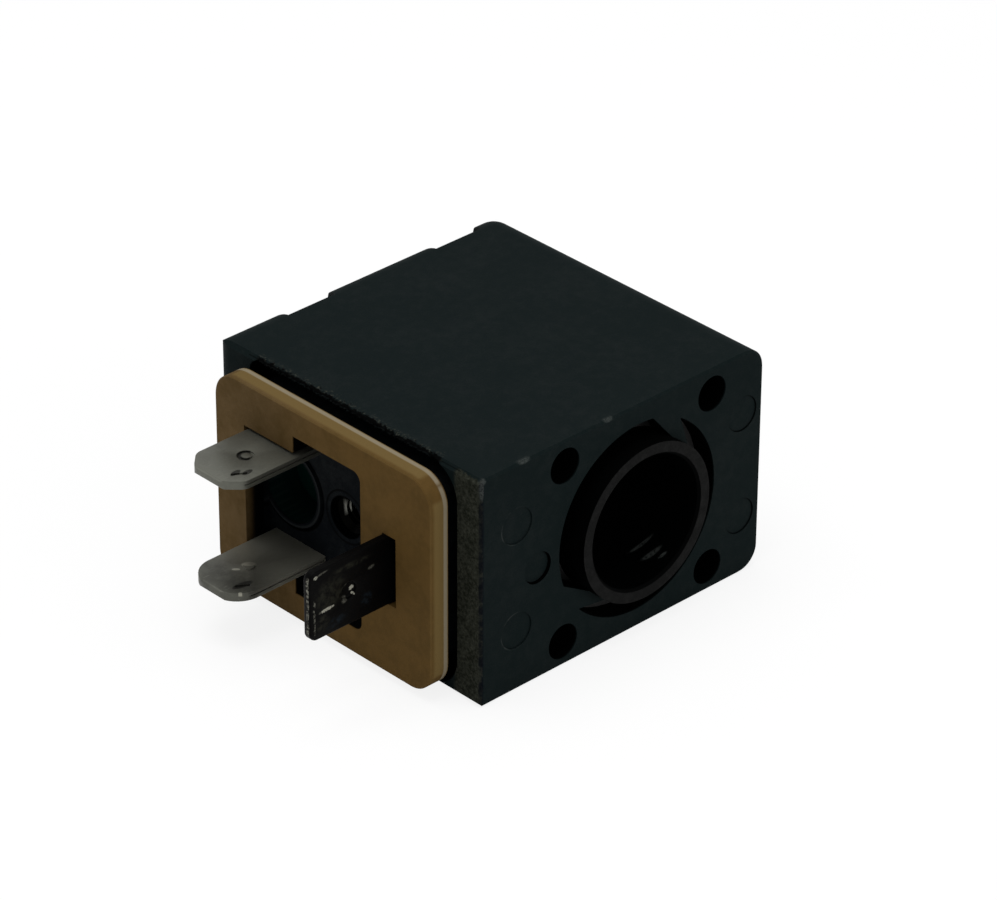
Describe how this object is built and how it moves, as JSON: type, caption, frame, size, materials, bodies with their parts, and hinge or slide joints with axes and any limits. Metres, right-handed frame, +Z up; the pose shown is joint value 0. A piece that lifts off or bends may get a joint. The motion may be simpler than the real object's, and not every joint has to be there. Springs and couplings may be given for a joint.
{
  "type": "solenoid valve coil",
  "caption": "Encapsulated solenoid coil: rectangular moulded body with a through bore for a valve tube, screw holes along the bore, blade terminals and a flat gasket for a plug.",
  "frame": {"origin": "where the bore axis meets the valve face of the moulded body", "axes": "+Y runs into the body along the bore, from the valve face to the rear face; -X points out of the terminal side, the way the blades stand; +Z is up, one blade above the other"},
  "size_m": [0.0444, 0.0344, 0.022],
  "materials": {
    "moulding": "slightly glossy black thermoset with fine grain",
    "bobbin_plastic": "satin dark grey glass-filled plastic",
    "copper_wire": "enamelled copper",
    "tape": "yellow polyester tape",
    "steel": "black phosphated soft steel",
    "block_plastic": "satin black plastic",
    "brass": "nickel-plated brass",
    "tinned_brass": "dull tin plate on brass sheet",
    "solder": "bright solder",
    "gasket_rubber": "matt tan silicone rubber"
  },
  "bodies": {
    "root": {"housing": "moulding", "bobbin": "bobbin_plastic", "winding": "copper_wire", "insulation_tape": "tape", "front_pole_plate": "steel", "rear_pole_plate": "steel", "yoke_strap": "steel", "terminal_block": "block_plastic", "threaded_insert": "brass", "upper_power_blade": "tinned_brass", "lower_power_blade": "tinned_brass", "earth_blade": "tinned_brass", "start_lead": "copper_wire", "finish_lead": "copper_wire", "solder_joints": "solder", "gasket": "gasket_rubber"}
  },
  "joints": []
}
